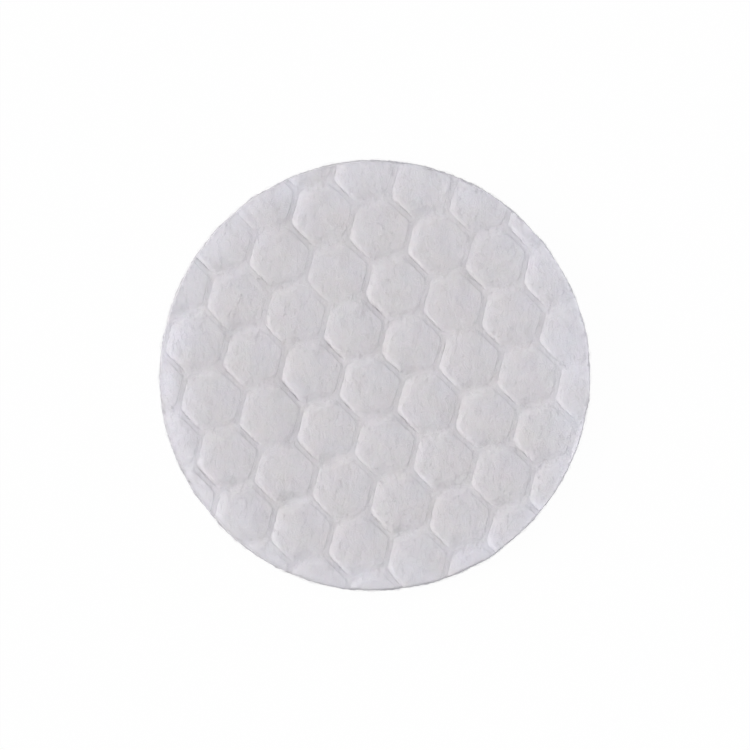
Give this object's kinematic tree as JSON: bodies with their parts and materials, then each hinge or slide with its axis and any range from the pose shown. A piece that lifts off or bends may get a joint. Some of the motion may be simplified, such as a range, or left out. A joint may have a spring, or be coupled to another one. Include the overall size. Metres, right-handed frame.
{
  "type": "cotton pad",
  "caption": "Round cotton pad with a soft honeycomb relief pressed into its upper face, for cleaning and wiping.",
  "frame": {"origin": "centre of the flat underside, on the surface that the pad lies on", "axes": "+Z up out of the honeycomb face; +X to the right and +Y up in the picture"},
  "size_m": [0.058, 0.058, 0.0034],
  "materials": {
    "cotton": "matt, soft pressed cotton wool"
  },
  "bodies": {
    "root": {"cotton_pad": "cotton"}
  },
  "joints": []
}
